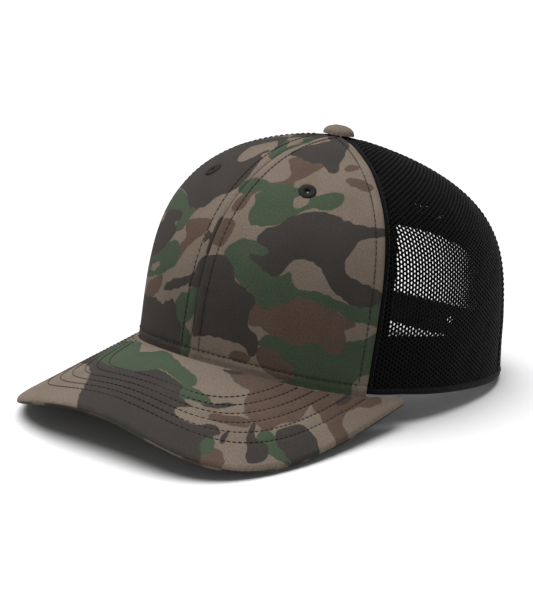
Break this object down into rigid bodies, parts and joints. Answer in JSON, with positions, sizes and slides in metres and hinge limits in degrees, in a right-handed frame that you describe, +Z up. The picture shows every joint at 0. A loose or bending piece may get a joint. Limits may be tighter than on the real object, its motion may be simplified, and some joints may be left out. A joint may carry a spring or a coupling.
{
  "type": "trucker mesh cap",
  "caption": "Trucker cap with camouflage cotton front panels and curved visor, black mesh side and rear panels, a covered button and a plastic snap strap across the rear opening.",
  "frame": {"origin": "on the table the cap stands on, under the middle of the cap's outline seen from above", "axes": "+Z up from the table, -Y the way the visor points, +X the wearer's left; the cap stands on the visor's two low corners and the back of the rim, so the head axis leans back 9.7 degrees"},
  "size_m": [0.1674, 0.2599, 0.1288],
  "materials": {
    "camo_twill": "brushed cotton twill printed in a woodland pattern of khaki, green, brown and near black",
    "buckram": "stiffened open-weave backing",
    "black_mesh": "black polyester warp-knit mesh",
    "black_tape": "black woven tape",
    "black_thread": "black polyester sewing thread",
    "sweatband_twill": "black cotton twill",
    "band_padding": "thin dark foam padding",
    "label_satin": "blank white satin label",
    "board_plastic": "stiff moulded plastic sheet",
    "button_metal": "pressed steel",
    "strap_plastic": "black flexible moulded plastic"
  },
  "bodies": {
    "crown": {"arch_binding": "black_tape", "back_seam_tape_left": "black_tape", "back_seam_tape_right": "black_tape", "button_cover": "camo_twill", "button_rivet": "button_metal", "button_shell": "button_metal", "button_washer": "button_metal", "care_label": "label_satin", "centre_seam_tape": "black_tape", "crown_stitching": "black_thread", "eyelet_left": "black_thread", "eyelet_right": "black_thread", "front_backing_left": "buckram", "front_backing_right": "buckram", "front_panel_left": "camo_twill", "front_panel_right": "camo_twill", "front_seam_tape_left": "black_tape", "front_seam_tape_right": "black_tape", "rear_mesh_left": "black_mesh", "rear_mesh_right": "black_mesh", "rear_seam_tape": "black_tape", "side_mesh_left": "black_mesh", "side_mesh_right": "black_mesh", "strap_root_left": "strap_plastic", "strap_root_right": "strap_plastic", "sweatband": "sweatband_twill", "sweatband_lining": "band_padding", "visor_board": "board_plastic", "visor_stitching": "black_thread", "visor_top_cover": "camo_twill", "visor_under_cover": "camo_twill"},
    "hole_strap": {"strap_with_holes": "strap_plastic"},
    "peg_strap": {"strap_with_pegs": "strap_plastic"}
  },
  "joints": [
    {"name": "hole_strap_flex", "type": "hinge", "parent": "crown", "child": "hole_strap", "pos_m": [0.035, 0.12828, 0.01471], "axis": [0, -0.0384, -0.9993], "range_deg": [0, 65], "stiffness_Nm_per_rad": 0.03},
    {"name": "peg_strap_flex", "type": "hinge", "parent": "crown", "child": "peg_strap", "pos_m": [-0.035, 0.12678, 0.01477], "axis": [0, -0.0384, -0.9993], "range_deg": [0, 45], "stiffness_Nm_per_rad": 0.03}
  ]
}
